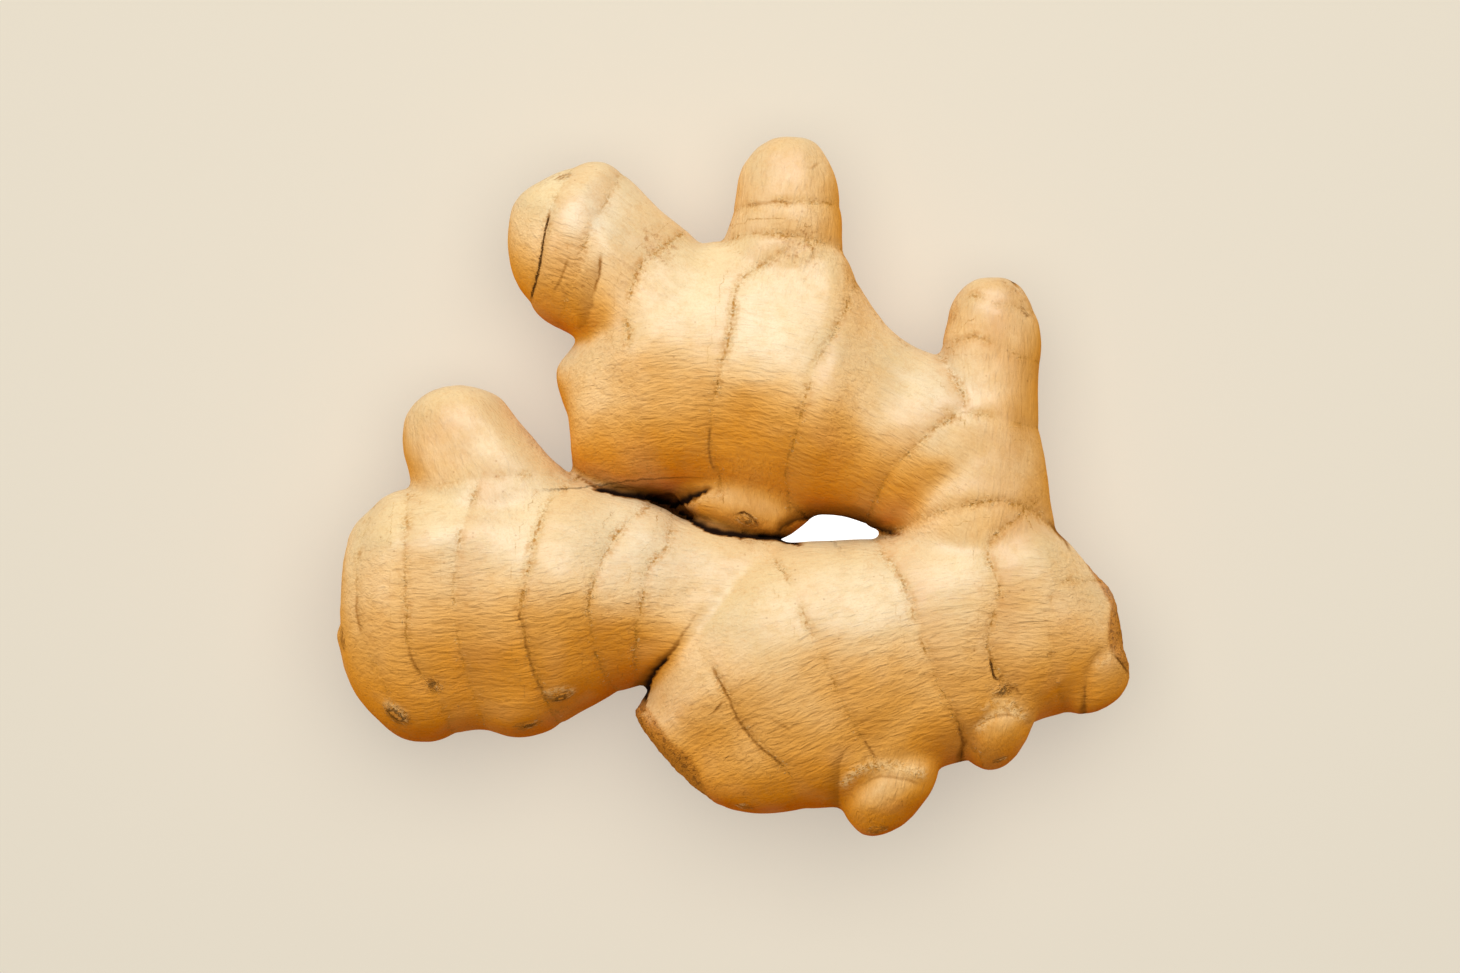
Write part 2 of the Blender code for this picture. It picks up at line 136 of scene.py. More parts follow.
# Growth rings: the scars of the scale leaves, which go round each branch every 6 to 12 mm.
# Each is a fine crooked groove with a low lip on one side, and the skin is brown and flaky in it.
# Each row holds the ring's strength, how much deeper the tan starts past it on the left of its
# direction, and its line across the branch in plan, in millimetres.
RINGS = (
    (0.45, 0.20, ((-67.5, -3.0), (-69.4, -12.0), (-69.8, -22.0), (-68.4, -30.0), (-65.6, -35.5),
                  (-63.8, -41.0))),
    (0.80, 0.30, ((-60.6, -0.7), (-60.6, -15.9), (-59.9, -31.1), (-55.3, -39.0), (-52.2, -47.4))),
    (0.60, 0.50, ((-47.3, 1.0), (-50.5, -9.2), (-51.5, -21.6), (-50.2, -32.0), (-46.9, -43.4))),
    (1.00, 0.30, ((-29.1, 1.6), (-35.0, -4.8), (-38.2, -17.8), (-39.0, -25.0), (-36.1, -36.6),
                  (-32.5, -44.7))),
    (0.85, 0.15, ((-15.4, -3.5), (-21.7, -9.2), (-26.4, -21.6), (-24.5, -33.5), (-21.5, -39.0))),
    (0.85, 0.15, ((-11.0, -4.5), (-12.0, -11.0), (-15.6, -15.5), (-16.6, -22.0), (-17.8, -27.5),
                  (-17.9, -35.2))),
    (0.90, 0.20, ((-4.4, -32.4), (-2.5, -35.2), (2.7, -45.3), (9.5, -52.3))),
    (0.60, 0.20, ((6.5, -11.1), (10.3, -17.4), (16.0, -29.2), (20.1, -39.0), (26.4, -51.0))),
    (0.70, 0.55, ((26.8, -9.8), (32.1, -17.8), (35.5, -29.2), (40.9, -41.5), (46.9, -51.4))),
    (0.80, 0.60, ((56.8, -3.5), (48.3, -11.1), (50.0, -19.7), (47.9, -30.1), (52.1, -38.7),
                  (55.3, -44.7))),
    (0.60, 0.25, ((69.2, -17.8), (61.4, -18.1), (59.3, -25.4), (60.2, -33.9), (63.5, -43.0))),
    (0.90, 0.25, ((30.8, -8.5), (38.0, -5.2), (48.5, -2.8), (56.2, -4.5), (61.9, -8.3))),
    (0.70, 0.30, ((40.7, 14.3), (46.0, 13.6), (50.9, 12.6), (58.7, 10.9))),
    (0.85, -0.50, ((39.9, 24.6), (43.7, 15.5), (36.3, 9.4), (29.3, 1.6), (25.3, -7.3))),
    (0.60, 0.30, ((41.6, 30.7), (44.6, 35.6), (49.2, 34.9), (57.6, 33.2))),
    (0.70, -0.30, ((41.0, 27.4), (43.6, 27.7), (45.6, 28.4), (48.5, 27.2), (54.0, 24.8), (58.0, 23.5))),
    (0.80, 0.30, ((23.8, 38.9), (20.3, 30.7), (15.6, 21.8), (12.3, 10.5), (10.3, 2.2), (11.2, -4.1))),
    (0.85, -0.25, ((14.1, 46.3), (7.8, 42.8), (1.7, 38.3), (-0.6, 27.3), (-3.8, 11.7), (-1.7, -1.0))),
    (0.90, -0.30, ((-9.5, 47.8), (-12.5, 45.2), (-16.0, 42.6), (-18.4, 37.6), (-19.2, 32.0),
                   (-19.2, 26.0))),
    (0.35, 0.15, ((-19.2, 26.0), (-18.4, 18.0), (-17.3, 10.7), (-14.4, -1.0))),
    (0.55, 0.45, ((-29.8, 60.7), (-33.8, 51.6), (-36.3, 41.1), (-38.2, 34.9))),
    (0.60, -0.35, ((-20.7, 59.4), (-23.4, 53.5), (-26.6, 47.0), (-29.6, 38.3), (-32.4, 30.7))),
    (0.70, 0.25, ((0.4, 52.0), (6.5, 53.3), (13.1, 53.5), (20.9, 53.3))),
    (0.80, 0.35, ((-1.7, 46.3), (4.4, 47.6), (13.1, 46.8), (21.7, 44.6))),
    (0.45, 0.15, ((-61.4, -1.0), (-47.7, 1.4), (-29.3, 2.8))),
)
CURVE_STEPS = 8
RING_REACH = 3.0
TONE_START = 0.35
TONE_REACH = 5.5
TONE_END = 11.0
RING_WANDER = 0.35
GROOVE_DEPTH = 0.14
GROOVE_WIDTH = 0.50
LIP_HEIGHT = 0.08
LIP_PLACE = 1.10
LIP_WIDTH = 0.65


def smooth_line(drawn, steps):
    """Catmull-Rom curve through a drawn line."""
    drawn = np.array(drawn, dtype=float)
    knots = np.vstack([2 * drawn[0] - drawn[1], drawn, 2 * drawn[-1] - drawn[-2]])
    line = []
    for before, start, end, after in zip(knots, knots[1:], knots[2:], knots[3:]):
        for t in np.arange(steps) / steps:
            line.append(0.5 * (2 * start + (end - before) * t
                               + (2 * before - 5 * start + 4 * end - after) * t ** 2
                               + (after - before + 3 * (start - end)) * t ** 3))
    line.append(drawn[-1])
    return np.array(line)


def nearest_on_line(places, line):
    """For each place in plan: the nearest run of a line, by its number, the share of that run that the
    place has passed, and its distance, first plain, then signed: above zero on the run's left."""
    nearest = np.full(len(places), np.inf)
    number = np.zeros(len(places), dtype=int)
    passed = np.zeros(len(places))
    signed = np.zeros(len(places))
    for index, (start, end) in enumerate(zip(line[:, :2], line[1:, :2])):
        run = end - start
        share = np.clip((places - start) @ run / (run @ run), 0, 1)
        off = places - start - share[:, None] * run
        distance = np.hypot(off[:, 0], off[:, 1])
        side = np.sign(run[0] * off[:, 1] - run[1] * off[:, 0])
        closer = distance < nearest
        nearest[closer] = distance[closer]
        number[closer] = index
        passed[closer] = share[closer]
        signed[closer] = (side * distance)[closer]
    return number, passed, nearest, signed


def gap_to_line(places, line):
    """Signed distance from each place in plan to a line: above zero on the left of its direction."""
    return nearest_on_line(places, line)[3]


def lay_rings(points):
    """For each point: signed gap to the nearest ring, its strength, the relief and the step in tone."""
    wander = RING_WANDER * (lumps(points, 2.2, 3) + 0.6 * lumps(points, 0.9, 4))
    patches = 0.70 + 0.75 * lumps(points, 3.2, 5)
    gap_of = np.full(len(points), RING_REACH)
    near_of = np.zeros(len(points))
    relief = np.zeros(len(points))
    deeper = np.zeros(len(points))
    for strength, tone, drawn in RINGS:
        line = smooth_line(drawn, CURVE_STEPS)
        low = line.min(0) - TONE_END
        high = line.max(0) + TONE_END
        close = np.where(((points[:, :2] > low) & (points[:, :2] < high)).all(1))[0]
        gap = gap_to_line(points[close, :2], line) + wander[close]
        lip = LIP_HEIGHT * hump(gap - LIP_PLACE, LIP_WIDTH)
        groove = GROOVE_DEPTH * (hump(gap, GROOVE_WIDTH) + 0.25 * hump(gap, 3 * GROOVE_WIDTH))
        profile = lip - groove
        wins = np.abs(gap) < np.abs(gap_of[close])
        gap_of[close[wins]] = gap[wins]
        near_of[close[wins]] = (strength * patches[close])[wins]
        relief[close[wins]] = (profile * strength * patches[close])[wins]
        past = gap * np.sign(tone)
        step = abs(tone) * np.clip(past / TONE_START, 0, 1) * hump(past, TONE_REACH)
        deeper[close] = np.maximum(deeper[close], step)
    return gap_of, np.clip(near_of, 0, 1), relief, deeper


ring_gap, ring_near, ring_relief, tone_step = lay_rings(points)
points = points + normals * ring_relief[:, None]


# Folds: the deep soft creases where a knob, a bud or a branch grows out of the next.
# Rows give depth, half width and the line in plan, in millimetres; only the upper skin is creased.
FOLDS = (
    (0.35, 0.90, ((42.2, -44.2), (43.5, -48.0), (45.2, -51.6))),
    (0.35, 0.70, ((46.0, -44.6), (48.3, -43.1), (51.1, -42.2), (54.0, -42.6))),
    (0.45, 0.80, ((66.6, -41.6), (66.6, -38.0), (67.2, -34.6), (69.2, -31.6))),
    (0.14, 0.60, ((24.5, -56.1), (26.4, -54.6), (28.3, -54.2), (32.1, -54.6), (35.9, -55.8))),
    (0.30, 1.00, ((40.4, 24.4), (42.6, 26.8), (45.5, 28.0))),
)
# The skin in each of the folds is also painted darker, a painted shade.
fold_shade = np.zeros(len(points))
facing_up = np.clip(normals[:, 2] * 4 + 0.6, 0, 1)
for depth, width, drawn in FOLDS:
    gap = gap_to_line(points[:, :2], smooth_line(drawn, CURVE_STEPS))
    crease = hump(gap, width) * facing_up
    points = points - normals * (depth * crease)[:, None]
    fold_shade = np.maximum(fold_shade, hump(gap, 0.8 * width) * facing_up * depth)


# Crevices: where one branch leans over the next, a painted shade in the gap with the near branch's edge
# crisp in it.
# Rows give darkness and the edge line in plan with the width of the shade, in millimetres; the shade
# fades out on the left of the line's direction, and is fainter where it is narrow.
CREVICES = (
    (1.00, ((-29.4, 1.9, 0.5), (-27.0, 0.5, 0.8), (-24.9, -0.8, 1.2), (-20.8, -1.8, 2.0),
            (-17.4, -2.4, 2.7), (-14.6, -3.0, 2.9), (-11.8, -4.1, 2.9), (-10.8, -4.5, 1.0))),
    (1.00, ((-10.9, -4.5, 0.9), (-10.0, -4.0, 2.5), (-8.9, -3.4, 2.9), (-6.6, -2.2, 2.3),
            (-4.4, -1.0, 1.1))),
    (1.00, ((-10.6, -4.9, 0.6), (-9.2, -5.7, 1.7), (-6.4, -7.6, 2.2), (-2.9, -9.0, 2.2), (1.5, -9.6, 1.8),
            (6.3, -9.9, 1.9), (9.4, -10.4, 2.6), (12.0, -11.0, 1.5))),
    (0.95, ((-15.6, -39.5, 2.2), (-15.3, -37.8, 2.6), (-14.2, -35.6, 2.2), (-12.3, -32.8, 1.3),
            (-10.1, -29.9, 0.7), (-7.9, -26.2, 0.4), (-6.4, -24.0, 0.2), (-4.8, -22.7, 0.1))),
    (0.32, ((-29.0, 29.4, 0.4), (-27.0, 31.0, 4.0), (-25.6, 35.4, 6.5), (-24.9, 39.2, 4.0),
            (-24.3, 42.6, 1.4), (-24.7, 44.0, 0.2))),
    (0.80, ((44.8, -54.0, 2.2), (43.7, -49.9, 1.3), (44.0, -46.5, 0.5), (43.0, -43.8, 0.2))),
    (0.75, ((67.2, -43.6, 1.6), (66.6, -40.4, 0.8), (66.5, -37.0, 0.3), (67.6, -33.0, 0.1))),
    (0.38, ((20.6, -61.0, 2.2), (20.1, -56.0, 3.0), (20.4, -51.5, 2.0), (21.6, -48.5, 0.6))),
    (0.80, ((8.6, -8.6, 1.0), (10.4, -7.6, 2.0), (12.6, -6.7, 2.5), (16.9, -6.1, 2.7), (22.6, -6.3, 2.7),
            (26.4, -7.3, 2.3), (29.0, -9.0, 1.4))),
    (0.90, ((25.5, -7.0, 0.6), (28.0, -8.2, 1.5), (30.4, -9.0, 1.3), (32.4, -9.2, 0.3))),
    (0.60, ((58.5, -6.0, 0.3), (60.6, -7.6, 1.0), (62.4, -9.6, 1.4), (63.8, -12.2, 0.5))),
)
CREVICE_EDGE = 0.30
CREVICE_LEAST_WIDTH = 0.1
CREVICE_FULL_WIDTH = 1.6
CREVICE_WANDER = 0.35


def crevice_shade(places, drawn):
    """How deep in the painted shade beside one edge line each place in plan lies, from 0 to 1."""
    line = smooth_line(drawn, CURVE_STEPS)
    number, passed, _, signed = nearest_on_line(places, line)
    width = line[number, 2] + passed * (line[number + 1, 2] - line[number, 2])
    width = np.maximum(width, CREVICE_LEAST_WIDTH)
    beside = np.where(signed > 0, hump(signed, width), np.clip(1 + signed / CREVICE_EDGE, 0, 1))
    return beside * np.clip(0.2 + width / CREVICE_FULL_WIDTH, 0, 1)


crevice_wander = CREVICE_WANDER * np.column_stack([lumps(points, 1.6, 30), lumps(points, 1.6, 31)])
# The crevices paint shade onto the skin's colour, darker beside each edge line.
painted_crevice_shade = np.zeros(len(points))
for darkness, drawn in CREVICES:
    shade = crevice_shade(points[:, :2] + crevice_wander, drawn)
    painted_crevice_shade = np.maximum(painted_crevice_shade, darkness * shade)
painted_crevice_shade = painted_crevice_shade * np.clip(normals[:, 2] * 4 + 1.2, 0, 1)


# Pale edges: lifted papery skin on the upper lips of the buds and knobs, partly a painted highlight
# where the lips catch the light.
# Rows give strength, half width and the line in plan, in millimetres.
PALE_EDGES = (
    (1.00, 1.0, ((21.3, -55.4), (23.4, -53.2), (26.0, -52.3), (28.6, -52.1), (32.0, -52.6),
                 (35.6, -53.6))),
    (0.80, 1.0, ((46.5, -45.0), (48.5, -43.1), (51.5, -42.0), (54.6, -43.0))),
    (0.35, 0.9, ((-10.0, -4.9), (-7.4, -3.4), (-4.2, -1.9), (-1.0, -1.6))),
    (0.50, 1.0, ((69.2, -33.2), (71.4, -31.8))),
    (0.55, 0.7, ((47.2, -41.6), (49.6, -40.2), (52.4, -40.6))),
    (0.70, 0.6, ((-34.2, -38.6), (-31.8, -37.9), (-29.8, -38.3))),
    (0.60, 0.7, ((-64.5, -40.6), (-62.8, -41.4), (-61.4, -43.0))),
    (0.60, 0.5, ((-16.2, -42.6), (-15.2, -43.6))),
)
PALE_EDGE_LIFT = 0.18
pale_edge = np.zeros(len(points))
for strength, width, drawn in PALE_EDGES:
    gap = gap_to_line(points[:, :2], smooth_line(drawn, CURVE_STEPS))
    pale_edge = np.maximum(pale_edge, strength * hump(gap, width) * facing_up)
ragged = 0.6 + 0.6 * lumps(points, 1.2, 32)
points = points + normals * (PALE_EDGE_LIFT * pale_edge * ragged)[:, None]


# Bud eyes and root scars: small oval marks on the flanks and tips, a low dome in a ragged brown rim.
# Rows give place in plan, half length, half width over half length, turn in degrees, height of the
# dome and how brown it is. They sit on the upper skin, and thin scales lie across them.
BUD_EYES = (
    (-31.9, -39.4, 3.0, 0.50, -10, 0.40, 0.9),
    (-38.2, -45.0, 2.6, 0.50, 8, 0.20, 0.9),
    (-62.9, -42.9, 3.2, 0.75, -60, 0.30, 0.8),
    (-55.6, -37.0, 2.2, 0.60, -50, 0.00, 0.5),
    (50.9, -38.0, 2.9, 0.55, 20, 0.12, 0.5),
    (59.7, -31.3, 1.3, 0.50, 0, 0.05, 0.4),
    (61.3, -36.6, 1.5, 0.65, 70, 0.30, 0.15),
    (50.6, -51.4, 1.3, 0.55, 15, 0.08, 1.0),
    (27.6, -64.6, 1.7, 0.70, 0, 0.25, 1.0),
    (2.5, -60.2, 1.5, 0.60, 0, 0.25, 1.0),
    (-16.9, -43.4, 1.3, 0.80, 30, 0.45, 0.9),
    (3.1, -6.5, 2.2, 0.65, -35, 0.30, 1.0),
    (-31.6, 58.4, 1.5, 0.70, 40, 0.10, 0.7),
    (-73.2, -28.6, 2.2, 0.70, 80, 0.25, 1.0),
    (55.4, 33.0, 1.5, 0.45, -20, 0.08, 0.6),
)
EYE_GROOVE_DEPTH = 0.10
EYE_GROOVE_WIDTH = 0.50
EYE_REACH = 1.6
EYE_SCALE_LIFT = 0.16
EYE_SCALE_STRETCH = np.array([0.5, 1.6, 1.0])


def upper_skin_at(tree, x, y):
    """The point of the skin and its outward direction straight below a place in plan."""
    point, normal = tree.ray_cast(Vector((x, y, 100.0)), Vector((0, 0, -1)))[:2]
    return np.array(point), np.array(normal)


skin_tree = BVHTree.FromPolygons(points.tolist(), [face.vertices[:] for face in skin.data.polygons])
eye_wander = 0.45 * lumps(points, 1.1, 6) + 0.30 * lumps(points, 0.55, 7)
eye_gap = np.full(len(points), EYE_REACH)
eye_brown = np.zeros(len(points))
eye_chart = np.zeros((len(points), 3))
for x, y, radius, squash, turn, rise, brown in BUD_EYES:
    heart, outward = upper_skin_at(skin_tree, x, y)
    spin = np.radians(turn)
    along = np.array([np.cos(spin), np.sin(spin), 0.0])
    along = along - outward * (along @ outward)
    along = along / np.linalg.norm(along)
    beside = np.cross(outward, along)
    off = points - heart
    reach = np.sqrt((off @ along) ** 2 + (off @ beside / squash) ** 2 + (off @ outward) ** 2)
    gap = (reach - radius) * (0.5 + 0.5 * squash) + eye_wander
    dome = rise * np.clip(1 - (reach / radius) ** 2, 0, 1)
    groove = EYE_GROOVE_DEPTH * min(1.0, radius / 2) * hump(gap, EYE_GROOVE_WIDTH)
    points = points + outward * (dome - groove)[:, None]
    wins = np.abs(gap) < np.abs(eye_gap)
    eye_gap[wins] = gap[wins]
    eye_chart[wins] = np.column_stack([off @ along + 3 * x, off @ beside + 3 * y, off @ outward])[wins]
    inside = np.clip((radius + 0.8 - reach) / (0.5 * radius + 0.8), 0, 1)
    eye_brown = np.maximum(eye_brown, brown * inside)
scales = lumps(eye_chart * EYE_SCALE_STRETCH, 1.2, 8)
points = points + normals * (EYE_SCALE_LIFT * np.clip(eye_brown, 0, 1) * scales)[:, None]


# Cracks: short splits of the dry skin, hair thin and brown; where they gape, painted shade makes them
# near black.
# Rows give how far each gapes and its line in plan, in millimetres, on the upper skin.
CRACKS = (
    (1.00, ((-34.0, 51.4), (-35.2, 46.0), (-36.0, 41.1), (-37.0, 37.6), (-37.9, 34.9))),
    (0.45, ((-30.4, 43.0), (-31.4, 40.0), (-33.4, 36.0))),
    (0.60, ((-24.4, 43.2), (-24.6, 40.0), (-25.8, 36.0))),
    (0.56, ((-3.6, -33.3), (-1.7, -37.1), (0.0, -40.6), (1.3, -43.4), (4.6, -47.8), (7.4, -50.1),
            (9.7, -52.0))),
    (0.55, ((-1.1, -39.6), (-4.0, -42.8))),
    (1.00, ((48.3, -31.6), (48.6, -33.6), (49.2, -35.7), (50.4, -36.4))),
    (0.50, ((49.2, -35.5), (51.3, -35.5))),
    (0.60, ((52.6, -37.4), (53.4, -38.0), (54.2, -39.2))),
    (0.80, ((71.8, -31.4), (73.6, -33.4), (75.2, -35.6))),
    (0.60, ((66.5, -42.6), (66.5, -39.2), (66.5, -36.8))),
    (0.60, ((42.4, -44.0), (43.2, -47.0), (44.2, -49.6))),
    (0.35, ((13.9, 59.9), (15.4, 60.2), (17.1, 61.7))),
    (0.90, ((52.6, 39.6), (53.4, 38.9), (54.3, 37.7))),
    (0.80, ((0.6, -5.4), (2.6, -5.0), (4.2, -6.2), (5.3, -7.8))),
    (0.50, ((-60.2, -29.2), (-59.8, -31.6), (-59.0, -33.3), (-57.9, -35.6))),
    (0.70, ((-39.1, -22.6), (-39.3, -24.4), (-38.6, -25.6))),
    (0.45, ((-38.5, -27.6), (-37.6, -32.0), (-36.4, -36.2), (-34.8, -38.6))),
    (0.50, ((-3.8, 11.7), (-4.2, 7.9), (-3.8, 5.0), (-2.7, 2.4))),
    (0.40, ((61.0, -7.8), (62.0, -9.2), (62.9, -10.9))),
    (0.55, ((24.4, -46.6), (26.0, -49.2), (27.6, -51.2))),
    (0.40, ((24.5, -56.1), (26.4, -54.6), (28.3, -54.2), (32.1, -54.6), (35.9, -55.8))),
    (0.40, ((46.4, -44.4), (48.3, -43.4), (51.1, -42.6), (53.4, -42.9))),
    (0.35, ((2.4, 53.0), (5.4, 53.3), (8.8, 53.6), (12.6, 53.2))),
    (0.45, ((-69.9, -20.0), (-70.0, -23.0), (-69.2, -28.0))),
    (0.35, ((6.0, -42.5), (8.5, -43.6), (11.6, -45.8))),
)
CRACK_REACH = 1.5
CRACK_TAPER = 1.2
CRACK_DEPTH = 0.16
CRACK_WIDTH = 0.5
crack_gap = np.full(len(points), CRACK_REACH)
crack_near = np.zeros(len(points))
for darkness, drawn in CRACKS:
    line = smooth_line(drawn, CURVE_STEPS)
    gap = gap_to_line(points[:, :2], line) + 0.5 * eye_wander
    ends = np.minimum(np.hypot(*(points[:, :2] - line[0]).T), np.hypot(*(points[:, :2] - line[-1]).T))
    tapered = darkness * np.clip(ends / CRACK_TAPER, 0.35, 1)
    nearness = np.clip(1 - np.abs(gap) / CRACK_REACH, 0, 1) * tapered * facing_up
    points = points - normals * (CRACK_DEPTH * nearness * hump(gap, CRACK_WIDTH))[:, None]
    wins = nearness > crack_near
    crack_gap[wins] = gap[wins]
    crack_near[wins] = nearness[wins]


# The grain: fine wrinkles that run along each branch, from ring to ring.
# Every branch has its middle line in plan and its half width, and is drawn on one of three charts,
# so that two branches which meet are never on the same one. A chart holds each point's place along,
# beside and above its branch, and the shares say how much each chart counts there.
BRANCHES = (
    (0, 23.5, ((-76.0, -23.0), (-45.0, -23.0), (-24.0, -19.5), (-5.0, -20.5))),
    (0, 22.0, ((42.0, 4.0), (28.0, 13.0), (10.0, 20.5), (-10.0, 22.0), (-31.0, 18.0))),
    (1, 23.5, ((-14.0, -53.0), (6.0, -42.0), (24.0, -35.0), (45.0, -30.0), (73.0, -30.0))),
    (1, 14.5, ((-14.0, 36.0), (-26.0, 44.5), (-40.0, 49.0))),
    (1, 11.0, ((-42.0, -4.0), (-47.0, 6.0), (-52.0, 18.0))),
    (2, 11.5, ((47.0, -7.0), (48.5, 8.0), (49.0, 24.0), (49.5, 39.0))),
    (2, 11.0, ((9.5, 42.0), (10.5, 52.0), (11.0, 65.0))),
    (2, 8.5, ((30.0, -54.0), (29.0, -60.0), (27.5, -66.0))),
    (2, 7.0, ((50.0, -45.0), (50.5, -52.0))),
    (2, 6.5, ((66.0, -36.0), (74.0, -35.5))),
    (2, 9.0, ((3.0, 0.0), (3.5, -8.0))),
)
CHARTS = 3
CHART_SHARPNESS = 5.0
CHART_STRIDE = 37.0


def along_and_beside(places, line):
    """Distance along a middle line, signed distance beside it, and plain distance from it, in plan."""
    runs = np.diff(line, axis=0)
    lengths = np.hypot(runs[:, 0], runs[:, 1])
    travelled = np.cumsum(lengths) - lengths
    number, _, distance, _ = nearest_on_line(places, line)
    ahead = runs[number] / lengths[number, None]
    off = places - line[number]
    along = travelled[number] + off[:, 0] * ahead[:, 0] + off[:, 1] * ahead[:, 1]
    beside = off[:, 1] * ahead[:, 0] - off[:, 0] * ahead[:, 1]
    return along, beside, distance


def lay_grain(points):
    """The three charts of the skin and each one's share at every point."""
    charts = np.zeros((CHARTS, len(points), 3))
    best = np.zeros((CHARTS, len(points)))
    for number, (chart, half_width, drawn) in enumerate(BRANCHES):
        line = smooth_line(drawn, CURVE_STEPS)
        along, beside, distance = along_and_beside(points[:, :2], line)
        belonging = np.exp(-CHART_SHARPNESS * (distance / half_width) ** 2) + 1e-9
        wins = belonging > best[chart]
        best[chart][wins] = belonging[wins]
        place = np.column_stack([along + CHART_STRIDE * number, beside, points[:, 2]])
        charts[chart][wins] = place[wins]
    shares = best / best.sum(0)
    return charts, shares


charts, shares = lay_grain(points)
RIPPLE_HEIGHT = 0.08
RIPPLE_STRETCH = np.array([0.25, 1.0, 1.0])
for chart in range(CHARTS):
    ripple = lumps(charts[chart] * RIPPLE_STRETCH, 1.9, 10 + chart)
    points = points + normals * (RIPPLE_HEIGHT * ripple * shares[chart])[:, None]


# Broken ends: where the right lobe snapped off its parent root, and a smaller one beside the right
# bud. Each is a dry orange brown face of torn fibres with a raised rim.
# Rows give the box of the face in plan and the line of its rim, with the face on the right of it.
BREAKS = (
    ((-22.0, -62.0, 1.0, -41.0), ((-18.6, -40.0), (-15.6, -41.8), (-13.2, -45.4), (-11.0, -48.0),
                                  (-7.2, -51.2), (-5.0, -56.6), (-3.0, -60.0))),
    ((66.0, -36.4, 77.0, -14.0), ((75.4, -36.2), (71.8, -31.3), (70.9, -29.1), (70.9, -25.9),
                                  (71.4, -22.7), (70.5, -20.6), (68.2, -16.4))),
)
RIM_HEIGHT = 0.16
RIM_WIDTH = 0.7
TORN_HEIGHT = 0.30
FACE_DEPTH = 0.12
torn = lumps(points, 1.2, 20)
break_face = np.zeros(len(points))
for (left, bottom, right, top), drawn in BREAKS:
    gap = gap_to_line(points[:, :2], smooth_line(drawn, CURVE_STEPS)) + 0.4 * eye_wander
    inside = ((points[:, :2] > (left, bottom)) & (points[:, :2] < (right, top))).all(1)
    face = np.where(inside, np.clip(0.5 - gap / RIM_WIDTH, 0, 1), 0)
    rim = np.where(inside, hump(gap - 0.3, RIM_WIDTH), 0)
    points = points + normals * (RIM_HEIGHT * rim + face * (TORN_HEIGHT * torn - FACE_DEPTH))[:, None]
    break_face = np.maximum(break_face, face)


# Brown patches: weathered speckled skin at the buds, the finger tips and the thin edges of the lobes.
# Rows give place in plan and height, reach and strength, in millimetres.
PATCHES = (
    (-74.0, -28.5, 19, 4.0, 0.8), (-70.0, -38.0, 16, 5.0, 0.5), (-63.0, -45.0, 20, 5.5, 0.7),
    (-52.0, -46.0, 18, 5.0, 0.5), (-33.5, -40.0, 24, 4.5, 0.5), (-40.0, -46.5, 20, 4.0, 0.6),
    (72.3, -28.5, 22, 3.5, 1.0), (73.5, -37.0, 20, 3.5, 0.5), (61.5, -9.5, 18, 2.5, 1.0),
    (37.5, -56.5, 20, 3.0, 0.7), (27.5, -65.0, 19, 2.5, 0.7), (42.5, -47.5, 24, 3.0, 0.7),
    (13.5, 46.0, 28, 5.0, 0.6), (21.0, 42.0, 22, 4.0, 0.5), (-29.5, 40.0, 28, 5.0, 0.5),
    (-33.4, 19.5, 17, 3.0, 0.7), (-29.0, 4.0, 18, 3.5, 0.6), (54.0, 38.0, 20, 2.5, 0.9),
    (57.8, 33.0, 18, 3.0, 0.5), (-34.0, 58.0, 20, 3.0, 0.5), (3.0, -7.0, 20, 4.0, 0.7),
    (-14.5, -52.0, 20, 4.0, 0.4), (-4.0, -60.0, 18, 3.0, 0.5), (-14.0, 45.0, 26, 4.0, 0.6),
    (-17.8, 39.0, 28, 3.0, 0.6), (73.0, -25.0, 20, 3.0, 0.8), (41.5, -49.5, 20, 3.5, 0.5),
    (24.5, 40.0, 21, 3.0, 0.7), (28.0, 34.0, 20, 2.5, 0.6), (33.5, 28.5, 19, 2.5, 0.6),
    (-17.0, 5.0, 22, 7.0, 0.45), (13.0, 8.0, 20, 6.0, 0.35),
    (-38.0, 8.0, 18, 3.0, 0.7), (-34.0, 4.5, 17, 2.5, 0.7), (-57.0, 20.0, 16, 3.0, 0.5),
)
patch_edge = 1.4 * lumps(points, 2.6, 21) + 0.8 * lumps(points, 0.9, 22)
patches = np.zeros(len(points))
for x, y, z, reach, strength in PATCHES:
    gap = np.linalg.norm(points - np.array([x, y, z]), axis=1)
    fading = np.clip((reach + 1.5 * patch_edge - gap) / reach + 0.6, 0, 1)
    patches = np.maximum(patches, strength * fading)


# Tints: the tips and the youngest knobs are tanner, partly their own tone and partly painted shade,
# and the middles of the big branches are painted pale cream, a painted sheen. Rows give place in plan
# and reach, in millimetres, and the share in the mix: above zero it is tan, below zero pale.
TINTS = (
    (-54.3, 10.0, 9.0, 0.42), (9.3, 62.5, 7.0, 0.40), (50.2, 36.0, 7.0, 0.36),
    (51.1, 24.0, 8.0, 0.60), (53.0, 6.9, 9.0, 0.45), (72.0, -33.0, 5.0, 0.50),
    (3.5, -4.0, 7.0, 0.60), (-11.0, -43.0, 6.0, 0.38), (54.8, -6.0, 5.0, 0.40),
    (42.6, -48.0, 5.0, 0.40), (-17.3, -10.2, 10.0, -0.32), (-47.7, -4.5, 11.0, -0.25),
    (-26.8, 50.6, 7.0, -0.50), (43.5, 20.2, 8.0, -0.60), (32.0, -14.0, 9.0, -0.15),
    (1.7, 33.0, 12.0, -0.18), (-6.0, 20.0, 9.0, 0.12),
)
tint = np.zeros(len(points))
for x, y, reach, share in TINTS:
    tint = tint + share * hump(np.hypot(points[:, 0] - x, points[:, 1] - y), reach)
tint = tint * (1 + 0.5 * lumps(points, 3.0, 33)) + 0.10 * lumps(points, 6.0, 34)
